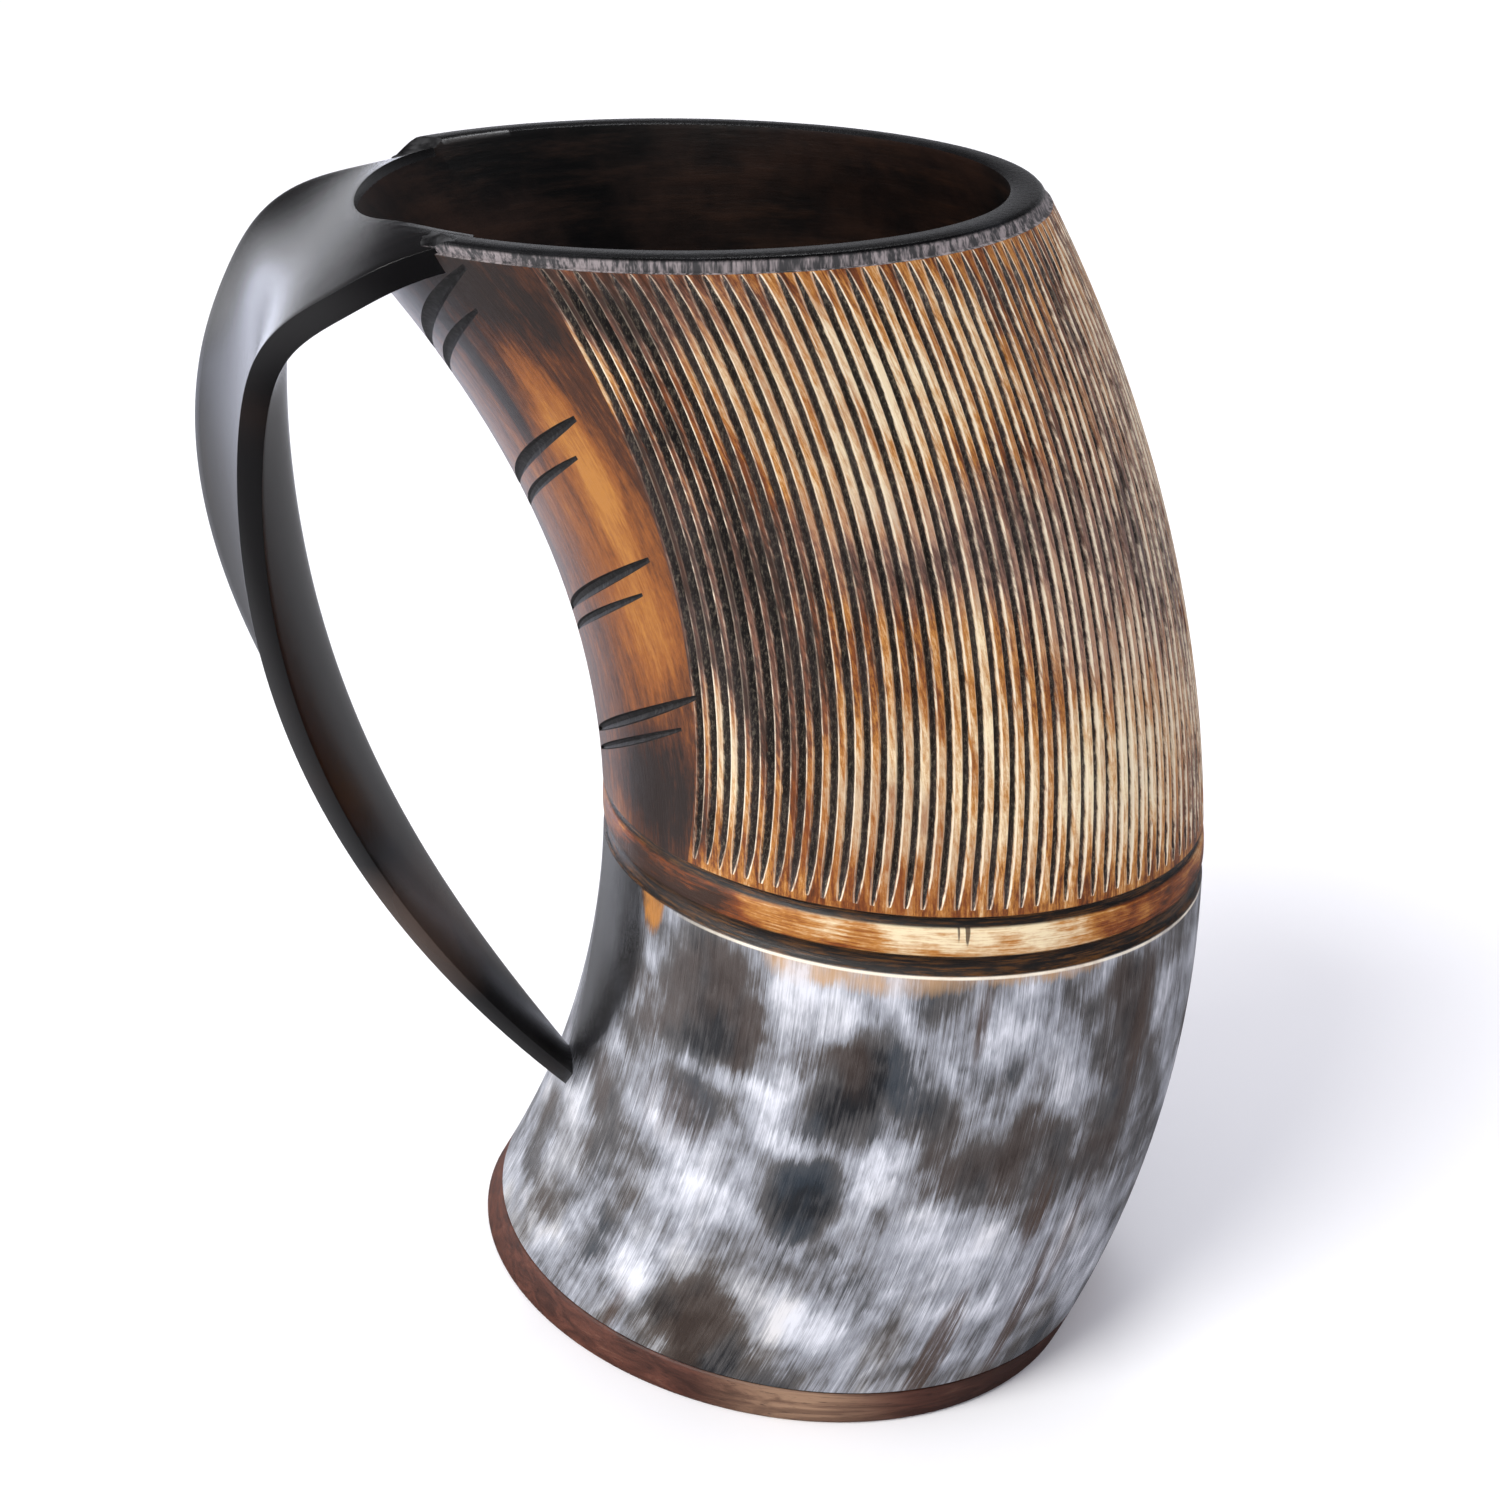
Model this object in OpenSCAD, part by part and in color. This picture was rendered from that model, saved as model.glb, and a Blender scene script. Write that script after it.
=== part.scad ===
/* [Horn height] */
// Height of the rim above the table
height = 165; // [150:1:180]
// Thickness of the horn wall, measured level
wall = 4.5; // [3.5:0.5:5.5]

/* [Long way across the oval] */
// At the foot
base_length = 99; // [93:1:105]
// A quarter of the way up
low_length = 92; // [88:1:96]
// Halfway up
waist_length = 86; // [83:1:89]
// Three quarters of the way up
shoulder_length = 85; // [82:1:88]
// At the rim
mouth_length = 92.4; // [88:0.4:97]

/* [Short way across the oval] */
// At the foot
base_width = 79; // [75:1:83]
// A quarter of the way up
low_width = 82; // [79:1:85]
// Halfway up
waist_width = 80; // [77:1:83]
// Three quarters of the way up
shoulder_width = 80; // [77:1:83]
// At the rim
mouth_width = 85; // [81:1:89]

/* [Bend and twist of the horn] */
// How far the middle of the oval lies from the foot's middle a quarter of the way up
low_lean = 15; // [12:1:18]
// The same halfway up
waist_lean = 18; // [15:1:21]
// The same three quarters of the way up
shoulder_lean = 9.5; // [7:0.5:12]
// The same at the rim, on the handle's side
mouth_lean = -12.8; // [-16:0.4:-10]
// Turn of the oval's long way at the foot
base_turn = -34; // [-40:1:-25]
// Turn of the oval's long way at the rim
mouth_turn = -21; // [-28:1:-14]

/* [Carved band] */
// Height of the band's lower lip
band_height = 72.7; // [66:0.1:80]
// Width of the lower groove
low_groove = 2.8; // [2:0.1:3.6]
// Width of the round bead between the grooves
bead = 4; // [3:0.2:5]
// Width of the upper groove
top_groove = 1.8; // [1.2:0.1:2.4]
// Depth of both grooves
groove_deep = 0.8; // [0.4:0.1:1.2]
// How far the bead swells past the horn
bead_swell = 0.3; // [0:0.1:0.6]

/* [Flutes] */
// Number of flutes round the belly
flutes = 100; // [60:4:100]
// Depth of a flute
flute_deep = 0.9; // [0.4:0.1:1.2]
// Length of a flute's pointed end
flute_point = 5; // [3:0.5:8]
// Plain horn above the band before the flutes start
flute_start = 1; // [0.5:0.1:2]
// Half of the plain strip's angle at the band
plain_low = 38; // [30:1:44]
// Half of the plain strip's angle at the rim
plain_top = 57; // [48:1:62]

/* [Rim] */
// Height of the smooth band round the rim
rim_band = 1.8; // [1.2:0.2:3]
// Small bevel on the rim's outer edge
rim_bevel = 0.4; // [0.2:0.1:0.8]

/* [Notches] */
// Width of one notch
notch_wide = 1.2; // [0.8:0.1:1.6]
// Depth of a notch
notch_deep = 0.7; // [0.4:0.1:1]
// Distance between the two notches of a pair
notch_apart = 2.4; // [2:0.1:3]
// Rise of a notch from its low end to its high end
notch_rise = 18; // [14:1:22]

/* [Handle] */
// Thickness of the strip of horn
strip_thick = 3.2; // [2.6:0.2:4]
// Width of the strip where it leaves the rim
strip_width = 66; // [60:1:70]
// How far the strip bows out past its root
bow = 52; // [46:1:58]
// Height at which the tip touches the horn
tip_height = 33.5; // [28:0.5:40]
// Width of the tip
tip_width = 2; // [1.5:0.5:4]
// Place of the strip across the cup
strip_side = -5; // [-7:0.5:-3]

/* [Foot] */
// Thickness of the wooden disc
disc_thick = 5.7; // [4.5:0.1:8]
// Bevel on the disc's lower edge
disc_bevel = 0.6; // [0.3:0.1:1]
// Height of the disc's plug inside the horn
plug_height = 6; // [4:0.5:10]
// Gap between the plug and the horn
plug_gap = 0.2; // [0.1:0.1:0.4]
// Thickness of the glue line
glue_thick = 0.4; // [0.3:0.1:0.6]
// How far the glue line lies back from the surface
glue_back = 0.3; // [0.1:0.1:0.6]
// Thickness of the poured seal over the plug
seal_thick = 2.5; // [1.5:0.5:4]

/* [Hidden] */

// Cuts run past a surface by this much
over = 1;
// Points round a smooth oval
smooth_steps = 72;
// Height shares of the rings below the tip of the handle and from there up to the band
low_ring_shares = [0, 0.5];
belly_ring_shares = [0, 0.5, 1];
// Height shares of the rings along the flutes' full depth
flute_ring_shares = [0, 0.25, 0.5, 0.75, 1];
cavity_ring_shares = [0, 0.26, 0.5, 0.74, 1];
// Angle of the plain strip's middle line, which faces the handle
plain_mid = 214;
plain_steps = 20;
// The band rises towards the handle and towards the near side by these shares
band_slope_x_share = -0.029;
band_slope_y_share = -0.044;
// The grooves' steep sides, as a share of their width
groove_side_share = 0.25;
// The bead's edges lie this share of the grooves' depth below the surface
bead_edge_share = 0.2;

// Heights of the notches' low ends, as shares from the band to the rim
notch_height_shares = [0.12, 0.34, 0.55, 0.76];
// Angles of a notch's low and high ends
notch_low_turn = 214;
notch_high_turn = 258;
notch_steps = 4;

// Course of the strip: how far out and how high its guide points lie
bow_shares = [0, 0.77, 0.56, 0.85, 1];
rise_shares = [0.99, 0.924, 0.894, 0.745, 0.521];
// Root of the strip, as a share of the mouth's length from the middle towards the handle
root_share = 0.22;
// Width of the strip's guide points as shares of the root's width
width_shares = [1, 0.45, 0.59, 0.85];
// Turn of the strip's guide sections
strip_turns = [0, 14, 41, 0];
// Hollow of the strip's section, as shares of its width
hollow_shares = [-0.1, 0.05, 0.35, 0.1];
strip_rings = 36;
strip_steps = 10;
// The strip is let into the rim over this share of its course
let_in_share = 0.3;
// Its far end lies past this share of its course
landing_share = 0.7;
// Width of the slope at which the rim runs down to the strip, as a share of its width
ramp_share = 0.09;
// The strip's upper end stands this share of its thickness proud of the inner wall
lip_share = 0.05;
// The guide's end lies this share of the strip's thickness inside the horn
tip_sink_share = 0.8;
// Halving steps that find where the strip meets a wall
search_steps = 16;

joint_height = disc_thick + glue_thick;
plug_top = disc_thick + plug_height;
seal_top = plug_top + seal_thick;
band_top = band_height + low_groove + bead + top_groove;
flute_low = band_top + flute_start;
flute_high = height - rim_band;

function sum(list) = list * [for (item = list) 1];
function product(list, i = 0) = i == len(list) ? 1 : list[i] * product(list, i + 1);
function mix(a, b, s) = a + (b - a) * s;
function limit(s) = max(0, min(1, s));
function unit(v) = v / norm(v);
// Smooth curve through values that stand at equal steps of s
function through(values, s) =
    let (n = len(values) - 1)
    sum([for (i = [0:n]) values[i] * product([for (j = [0:n]) if (j != i) (s * n - j) / (i - j)])]);
// Curve steered by guide values, and its slope
function bezier(values, u) =
    len(values) == 1 ? values[0]
    : bezier([for (i = [0:len(values) - 2]) mix(values[i], values[i + 1], u)], u);
function bezier_slope(values, u) =
    (len(values) - 1) * bezier([for (i = [0:len(values) - 2]) values[i + 1] - values[i]], u);

// The oval at height z: its middle, its half axes and its turn
function middle(z) = through([0, low_lean, waist_lean, shoulder_lean, mouth_lean], z / height);
function half_long(z) =
    through([base_length, low_length, waist_length, shoulder_length, mouth_length], z / height) / 2;
function half_short(z) =
    through([base_width, low_width, waist_width, shoulder_width, mouth_width], z / height) / 2;
function turn(z) = mix(base_turn, mouth_turn, z / height);
function oval(z, t, inset) =
    let (x = (half_long(z) - inset) * cos(t), y = (half_short(z) - inset) * sin(t), p = turn(z))
    [middle(z) + x * cos(p) - y * sin(p), x * sin(p) + y * cos(p), z];
// Is a point inside the oval at its height?
function within(point, inset) =
    let (z = point[2], p = turn(z), x = point[0] - middle(z), y = point[1])
    pow((x * cos(p) + y * sin(p)) / (half_long(z) - inset), 2)
        + pow((y * cos(p) - x * sin(p)) / (half_short(z) - inset), 2) < 1;
// The horn's surface on the handle's side, at height z and place y
function handle_side(z, y) =
    let (p = turn(z), long = pow(half_long(z), -2), short = pow(half_short(z), -2),
        xx = cos(p) * cos(p) * long + sin(p) * sin(p) * short,
        xy = sin(p) * cos(p) * (long - short),
        yy = sin(p) * sin(p) * long + cos(p) * cos(p) * short)
    middle(z) - (xy * y + sqrt(pow(xy * y, 2) - xx * (yy * y * y - 1))) / xx;

// How much a ring at height z follows the band's slope
function follow(z) =
    z < band_height ? limit((z - joint_height) / (band_height - joint_height))
    : limit((height - z) / (height - band_top));
function raised(p) =
    p + [0, 0, follow(p[2]) * (band_slope_x_share * (p[0] - middle(p[2])) + band_slope_y_share * p[1])];
function plain_half(z) = mix(plain_low, plain_top, limit((z - band_top) / (height - band_top)));
// Share of its full depth that a flute has at height z
function flute_share(z) = limit(min((z - flute_low) / flute_point, (flute_high - z) / flute_point));

function smooth_ring(z, inset) =
    [for (i = [0:smooth_steps - 1]) oval(z, 360 * i / smooth_steps, inset)];
// Angles of the ridges at height z, and then of the plain strip's points
function ridge_turns(z) =
    let (half = plain_half(z), sweep = 360 - 2 * half)
    concat(
        [for (i = [0:flutes - 1]) plain_mid + half + sweep * i / flutes],
        [for (k = [0:plain_steps - 1]) plain_mid - half + 2 * half * k / plain_steps]);
// A ring of the belly has these points alone
function belly_ring(z, inset) = [for (t = ridge_turns(z)) raised(oval(z, t, inset))];
// A ring of the fluted part also has one between each two, in a flute or on the plain strip
function fluted_ring(z, inset) =
    let (turns = ridge_turns(z), n = len(turns))
    [for (i = [0:n - 1], half_step = [0, 1])
        let (next = turns[(i + 1) % n] + (turns[(i + 1) % n] < turns[i] ? 360 : 0),
            deep = i < flutes ? half_step * flute_deep * flute_share(z) : 0)
        raised(oval(z, mix(turns[i], next, half_step / 2), inset + deep))];

// Faces of a flat end over n points from the given one on, as a ladder across the ring
function end_faces(from, n, up) =
    [for (i = [0:floor(n / 2) - 1])
        let (a = from + i, b = a + 1, c = from + n - 2 - i, d = c + 1)
        each concat(
            b < d ? [up ? [d, b, a] : [a, b, d]] : [],
            b < c ? [up ? [d, c, b] : [b, c, d]] : [])];
// Faces between the ring that starts at one number and the ring that starts at another
function band_faces(low, high, n) =
    [for (i = [0:n - 1])
        let (a = low + i, b = low + (i + 1) % n, c = high + i, d = high + (i + 1) % n)
        each [[a, c, d], [a, d, b]]];
// The same where the upper ring has twice as many points
function widening_faces(low, high, n) =
    [for (i = [0:n - 1])
        let (a = low + i, b = low + (i + 1) % n,
            c = high + 2 * i, d = c + 1, e = high + (2 * i + 2) % (2 * n))
        each [[a, c, d], [a, d, b], [b, d, e]]];
// The same where the lower ring has twice as many points
function narrowing_faces(low, high, n) =
    [for (i = [0:n - 1])
        let (a = low + 2 * i, b = a + 1, c = low + (2 * i + 2) % (2 * n),
            d = high + i, e = high + (i + 1) % n)
        each [[a, d, b], [b, d, e], [b, e, c]]];

// Closed skin over rings that have the same number of points
module loft(rings) {
    n = len(rings[0]);
    last = len(rings) - 1;
    polyhedron(
        points = [for (ring = rings) each ring],
        faces = concat(
            end_faces(0, n, false),
            [for (j = [0:last - 1]) each band_faces(j * n, (j + 1) * n, n)],
            end_faces(last * n, n, true)),
        convexity = 10);
}
// Closed skin over rings whose last joins the first
module hoop(rings) {
    n = len(rings[0]);
    m = len(rings);
    polyhedron(
        points = [for (ring = rings) each ring],
        faces = [for (j = [0:m - 1]) each band_faces(j * n, (j + 1) % m * n, n)],
        convexity = 10);
}

// Height and inset of the belly's rings, from the joint up to the flutes
belly_rings = concat(
    [for (s = low_ring_shares) [mix(joint_height, tip_height, s), 0]],
    [for (s = belly_ring_shares) [mix(tip_height, band_height, s), 0]],
    [[band_height + low_groove * groove_side_share, groove_deep],
    [band_height + low_groove * (1 - groove_side_share), groove_deep],
    [band_height + low_groove, groove_deep * bead_edge_share],
    [band_height + low_groove + bead / 2, -bead_swell],
    [band_height + low_groove + bead, groove_deep * bead_edge_share],
    [band_top - top_groove * (1 - groove_side_share), groove_deep],
    [band_top - top_groove * groove_side_share, groove_deep],
    [band_top, 0]]);
// The same of the fluted part's rings, up to the rim
upper_rings = concat(
    [[flute_low, 0]],
    [for (s = flute_ring_shares) [mix(flute_low + flute_point, flute_high - flute_point, s), 0]],
    [[flute_high, 0], [height - rim_bevel, 0], [height, rim_bevel]]);

// The same down the inner wall, from the rim to the joint
inner_rings = concat(
    [for (s = cavity_ring_shares) mix(height, seal_top, s)],
    [plug_top, joint_height]);

// The horn's wall as one skin: up the outside, over the rim and down the inside
module shell() {
    low = [for (r = belly_rings) belly_ring(r[0], r[1])];
    high = [for (r = upper_rings) fluted_ring(r[0], r[1])];
    inside = [for (z = inner_rings) [for (t = ridge_turns(z)) oval(z, t, wall)]];
    n = len(low[0]);
    high_start = n * len(low);
    inside_start = high_start + 2 * n * len(high);
    polyhedron(
        points = [for (ring = concat(low, high, inside)) each ring],
        faces = concat(
            [for (j = [0:len(low) - 2]) each band_faces(j * n, (j + 1) * n, n)],
            widening_faces(high_start - n, high_start, n),
            [for (j = [0:len(high) - 2])
                each band_faces(high_start + 2 * n * j, high_start + 2 * n * (j + 1), 2 * n)],
            narrowing_faces(inside_start - 2 * n, inside_start, n),
            [for (j = [0:len(inside) - 2]) each band_faces(inside_start + n * j, inside_start + n * (j + 1), n)],
            band_faces(inside_start + n * (len(inside) - 1), 0, n)),
        convexity = 10);
}

// Guide points of the strip's middle line, with its last one inside the horn
root_x = mouth_lean - root_share * mouth_length;
guide_x = concat(
    [for (s = bow_shares) root_x - bow * s],
    [handle_side(tip_height, strip_side) + strip_thick * tip_sink_share]);
guide_z = concat(
    [for (s = rise_shares) mix(tip_height, height, s)],
    [tip_height - strip_thick * tip_sink_share]);
guide_width = concat([for (s = width_shares) strip_width * s], [tip_width]);

function strip_out(u) = unit([bezier_slope(guide_z, u), 0, -bezier_slope(guide_x, u)]);
// Point of the strip's section: v runs from -1 at the near edge to 1 at the far edge
function strip_point(u, v, lift) =
    let (turned = bezier(strip_turns, u), width = bezier(guide_width, u),
        hollow = bezier(hollow_shares, u), out = strip_out(u),
        across = cos(turned) * [0, 1, 0] + sin(turned) * out,
        face = cos(turned) * out - sin(turned) * [0, 1, 0],
        normal = unit(face - 4 * v * hollow * across))
    [bezier(guide_x, u), strip_side, bezier(guide_z, u)]
        + v * width / 2 * across - (1 - v * v) * hollow * width * face + lift * normal;
// Share of the course at which a line along the strip leaves the mouth
function root_at(v, lift, low = 0, high = let_in_share, n = search_steps) =
    let (u = (low + high) / 2)
    n == 0 ? low
    : within(strip_point(u, v, lift), wall + strip_thick * lip_share)
        ? root_at(v, lift, u, high, n - 1) : root_at(v, lift, low, u, n - 1);
// Share of the course at which the same line meets the belly
function landing_at(v, lift, low = landing_share, high = 1, n = search_steps) =
    let (u = (low + high) / 2)
    n == 0 ? low
    : within(strip_point(u, v, lift), 0)
        ? landing_at(v, lift, low, u, n - 1) : landing_at(v, lift, u, high, n - 1);

// Edge points of the strip's section, as pairs of v and lift, in order round it
section = concat(
    [for (k = [0:strip_steps]) [2 * k / strip_steps - 1, strip_thick / 2]],
    [for (k = [strip_steps:-1:0]) [2 * k / strip_steps - 1, -strip_thick / 2]]);
module strip() {
    starts = [for (p = section) root_at(p[0], p[1])];
    ends = [for (p = section) landing_at(p[0], p[1])];
    loft([for (j = [0:strip_rings])
        [for (i = [0:len(section) - 1])
            strip_point(mix(starts[i], ends[i], j / strip_rings), section[i][0], section[i][1])]]);
}

// The space over the strip's root, where the rim runs down to it
function over_ring(u) =
    let (ramp = strip_width * ramp_share, out = strip_out(u),
        near = strip_point(u, -1, strip_thick / 2), far = strip_point(u, 1, strip_thick / 2),
        near_slope = near + ramp * (out - [0, 1, 0]), far_slope = far + ramp * (out + [0, 1, 0]))
    concat(
        [near_slope + strip_width * out, near_slope, near],
        [for (k = [1:strip_steps - 1]) strip_point(u, 2 * k / strip_steps - 1, 0)],
        [far, far_slope, far_slope + strip_width * out]);
module over_strip() {
    last = round(strip_rings * let_in_share);
    loft([for (j = [last:-1:0]) over_ring(j / strip_rings)]);
}

// One slanted notch in the plain strip, from its low end up to its high end
module notch(low) {
    function place(k) =
        let (s = k / notch_steps)
        oval(low + notch_rise * s, mix(notch_low_turn, notch_high_turn, s), notch_deep - notch_wide / 2);
    for (k = [0:notch_steps - 1])
        hull() {
            translate(place(k))
                sphere(d = notch_wide, $fn = 6);
            translate(place(k + 1))
                sphere(d = notch_wide, $fn = 6);
        }
}

// The polished and carved horn, a hollow tube that is open at both ends
module horn_body() {
    color("peru")
    difference() {
        shell();
        strip();
        over_strip();
        for (s = notch_height_shares, side = [0, 1])
            notch(mix(band_top, height, s) - side * notch_apart);
    }
}

// The strip of the same horn that is bent over the rim and down to the belly
module handle() {
    color("black")
    strip();
}

// Wooden disc under the horn, with a plug that centres it in the horn's end
module base_disc() {
    color("saddlebrown")
    loft([
        smooth_ring(0, disc_bevel),
        smooth_ring(disc_bevel, 0),
        smooth_ring(disc_thick, 0),
        smooth_ring(disc_thick, wall + plug_gap),
        smooth_ring(plug_top, wall + plug_gap)]);
}

// Thin dark line of glue between the disc and the horn's end
module glue_line() {
    color("black")
    hoop([
        smooth_ring(disc_thick, glue_back),
        smooth_ring(joint_height, glue_back),
        smooth_ring(joint_height, wall),
        smooth_ring(disc_thick, wall)]);
}

// Poured seal that covers the plug and closes the cup's floor
module base_seal() {
    color("dimgray")
    loft([for (z = [plug_top, seal_top]) [for (t = ridge_turns(z)) oval(z, t, wall)]]);
}

horn_body();
handle();
base_disc();
glue_line();
base_seal();
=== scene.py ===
"""A drinking mug of polished horn on a round wooden base.

It is laid out as an add-on, with an operator for each piece or pair of pieces, and one for the stage.
Shapes are worked out in millimetres, and become metres in sheet().
"""

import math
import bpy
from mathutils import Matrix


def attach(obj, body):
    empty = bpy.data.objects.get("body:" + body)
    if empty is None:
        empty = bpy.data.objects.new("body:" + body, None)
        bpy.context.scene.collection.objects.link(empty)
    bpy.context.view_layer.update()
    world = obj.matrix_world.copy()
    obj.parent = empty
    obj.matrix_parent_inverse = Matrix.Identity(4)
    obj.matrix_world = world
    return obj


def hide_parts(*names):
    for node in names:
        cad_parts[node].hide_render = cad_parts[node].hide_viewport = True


bl_info = {
    "name": "Horn mug",
    "version": (1, 0, 0),
    "blender": (4, 5, 0),
    "location": "3D View > Sidebar > Horn mug",
    "description": "Models a fluted horn mug with a bent strip handle and its stage",
    "category": "Object",
}

import bpy
import numpy as np
from bpy.props import FloatProperty, FloatVectorProperty, IntProperty, PointerProperty
from mathutils import Vector

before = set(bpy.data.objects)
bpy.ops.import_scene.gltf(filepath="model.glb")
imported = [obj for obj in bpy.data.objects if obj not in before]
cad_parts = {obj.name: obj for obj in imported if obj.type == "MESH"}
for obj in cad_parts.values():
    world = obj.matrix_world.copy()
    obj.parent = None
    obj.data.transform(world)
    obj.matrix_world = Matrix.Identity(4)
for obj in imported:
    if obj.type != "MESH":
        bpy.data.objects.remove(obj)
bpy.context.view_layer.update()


MM = 0.001
# The oval's middle and half axes at five equal steps of height, and its turn at the foot and the rim, in degrees
LEAN = (0, 15, 18, 9.5, -12.8)
HALF_LONG = (49.5, 46, 43, 42.5, 46.2)
HALF_SHORT = (39.5, 41, 40, 40, 42.5)
TURN = (-34, -21)
# How far the band rises for each millimetre along x and y: it does towards the handle and the near side
SLOPE = (-0.029, -0.044)
# Middle of the plain strip and half its angle at the band and at the rim, in degrees; and its columns
PLAIN = (214, 38, 57)
PLAIN_COLUMNS = 60
# Where the points lie across one flute, from ridge to ridge
ACROSS = (0, 0.21, 0.34, 0.5, 0.66, 0.79)
# Profile of the carved band: height over its lower lip, and depth
BAND = (
    (0, 0), (0.25, 0.45), (0.7, 0.8), (1.4, 0.9), (2.1, 0.8), (2.55, 0.45), (2.8, 0.15),
    (3.2, -0.04), (3.8, -0.08), (4.8, -0.09), (5.8, -0.08), (6.4, -0.04), (6.8, 0.15),
    (7.05, 0.5), (7.4, 0.75), (7.9, 0.8), (8.3, 0.55), (8.6, 0),
)
BAND_TALL = BAND[-1][0]
# How far the flutes stay from the band and from the rim, and over what length they come to a point there
FLUTE_GAPS = (1, 1.8)
FLUTE_POINTS = (5, 4)
# Profile of the rim's outside: height from the rim, and depth
RIM = ((-1.75, 0), (-1.6, 0.3), (-0.5, 0.3), (-0.12, 0.5), (0, 0.95))
# The handle's root, as a distance from the rim's middle, and guide values of the handle's course:
# reach from the root, height, width, twist in degrees, and hollow as a share of the width
ROOT = 20.3
REACH = (0, 40, 29, 44, 52)
RISE = (163.35, 155, 151, 131.5, 102)
WIDTH = (66, 30, 39, 56, 2)
TWIST = (0, 14, 41, 0)
HOLLOW = (-0.1, 0.05, 0.35, 0.1)
# Height of the plug on the disc, and its gap to the wall
PLUG, PLUG_GAP = 6, 0.2
# Notch pairs: height of the low end over the band, as a share of the way to the rim
NOTCHES = (0.12, 0.34, 0.55, 0.76)
# The camera that fits the photograph: place in metres, tilt under level, lens, and width of the sensor
CAMERA, TILT, LENS, SENSOR = (-0.0031, -0.2518, 0.2142), 0.472, 48, 36


def hexed(code):
    """A colour as the eye sees it, made linear."""
    parts = [int(code[i : i + 2], 16) / 255 for i in (0, 2, 4)]
    return tuple(p / 12.92 if p <= 0.04045 else ((p + 0.055) / 1.055) ** 2.4 for p in parts)


def size(name, about, default):
    """A length, whose default is given in millimetres."""
    return FloatProperty(name=name, description=about, default=default * MM, unit="LENGTH", precision=4)


def colour(name, about, code):
    shade = hexed(code)
    return FloatVectorProperty(name=name, description=about, default=shade, subtype="COLOR", min=0, max=1)


class MugShape(bpy.types.PropertyGroup):
    """Sizes of the mug"""

    height: size("Height", "Height of the rim", 165)
    wall: size("Wall", "Thickness of the horn", 4.5)
    joint: size("Joint", "Height at which horn meets glue", 6.1)
    disc: size("Disc", "Thickness of the wooden disc", 5.7)
    floor: size("Floor", "Height of the seal inside", 14.2)
    band: size("Band", "Height of the carved band's lower lip", 72.7)
    flutes: IntProperty(name="Flutes", description="Number of carved flutes", default=100, min=20, max=140)
    flute_deep: size("Flute depth", "Depth of a flute", 0.95)
    strip: size("Strip", "Thickness of the handle", 3.2)
    tip: size("Tip", "Height at which the handle meets the belly", 33.5)
    side: size("Side", "Place of the handle across the mug", -5)


class MugLook(bpy.types.PropertyGroup):
    """Colours of the mug"""

    white: colour("White", "Palest marbling of the belly", "dfe1e8")
    silver: colour("Silver", "Grey-blue marbling", "9da0a8")
    slate: colour("Slate", "Middle grey of the marbling", "5a5858")
    charcoal: colour("Charcoal", "Darkest marbling", "222326")
    umber: colour("Umber", "Brown clouds and streaks", "4f3f36")
    steel: colour("Steel", "Blue-grey clouds of the belly", "38444f")
    cream: colour("Cream", "Palest ridges", "f3e0b8")
    gold: colour("Gold", "Golden ridges", "c07f33")
    amber: colour("Amber", "Burnt orange stain", "8a430d")
    brown: colour("Brown", "Dark brown horn", "3b2212")
    groove: colour("Groove", "Bottom of the flutes", "2b2725")
    black: colour("Black", "Handle and rim", "0a090a")
    walnut: colour("Walnut", "Reddish wood", "63382a")
    tan: colour("Tan", "Light wood", "a08065")


class MugStage(bpy.types.PropertyGroup):
    """Light and floor"""

    key: FloatProperty(
        name="Key", description="Strength of the main light", default=2.3, subtype="FACTOR", max=20
    )
    glint: FloatProperty(
        name="Glint", description="Power of the small lights", default=1.2, subtype="POWER", unit="POWER"
    )
    sky: FloatProperty(
        name="Sky", description="Strength of the surroundings", default=0.7, subtype="FACTOR"
    )
    floor: colour("Floor", "Colour of the floor", "ffffff")


# ---- shape ----


def through(values, s):
    """A smooth curve through values that stand at equal steps of s."""
    n = len(values) - 1
    total = 0
    for i, value in enumerate(values):
        weight = 1
        for j in range(n + 1):
            if j != i:
                weight = weight * (s * n - j) / (i - j)
        total = total + value * weight
    return total


def oval(shape, t, z, inset=0):
    """Points on the horn at angles t, in degrees, and heights z, in millimetres."""
    # The curve keeps just inside the flat-sided horn of the CAD model
    inset = np.asarray(inset, float) + 0.23
    t, z, inset = np.broadcast_arrays(np.radians(t), np.asarray(z, float), inset)
    s = z / (shape.height / MM)
    x = (through(HALF_LONG, s) - inset) * np.cos(t)
    y = (through(HALF_SHORT, s) - inset) * np.sin(t)
    p = np.radians(TURN[0] + (TURN[1] - TURN[0]) * s)
    return np.stack([
        through(LEAN, s) + x * np.cos(p) - y * np.sin(p),
        x * np.sin(p) + y * np.cos(p),
        z,
    ], -1)


def raised(shape, points):
    """The carved band isn't quite level, and its neighbours follow it."""
    z = points[..., 2]
    low, high = shape.band / MM, shape.band / MM + BAND_TALL
    top, joint = shape.height / MM, shape.joint / MM
    share = np.where(z < low, (z - joint) / (low - joint), (top - z) / (top - high)).clip(0, 1)
    x = points[..., 0] - through(LEAN, z / top)
    points[..., 2] = z + share * (SLOPE[0] * x + SLOPE[1] * points[..., 1])
    return points


def within(shape, points, inset):
    """Which points lie inside the horn's oval at their height, made smaller by the inset."""
    x, y, z = np.moveaxis(points, -1, 0)
    s = z / (shape.height / MM)
    p = np.radians(TURN[0] + (TURN[1] - TURN[0]) * s)
    x = x - through(LEAN, s)
    a = (x * np.cos(p) + y * np.sin(p)) / (through(HALF_LONG, s) - inset)
    b = (y * np.cos(p) - x * np.sin(p)) / (through(HALF_SHORT, s) - inset)
    return a * a + b * b < 1


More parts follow.
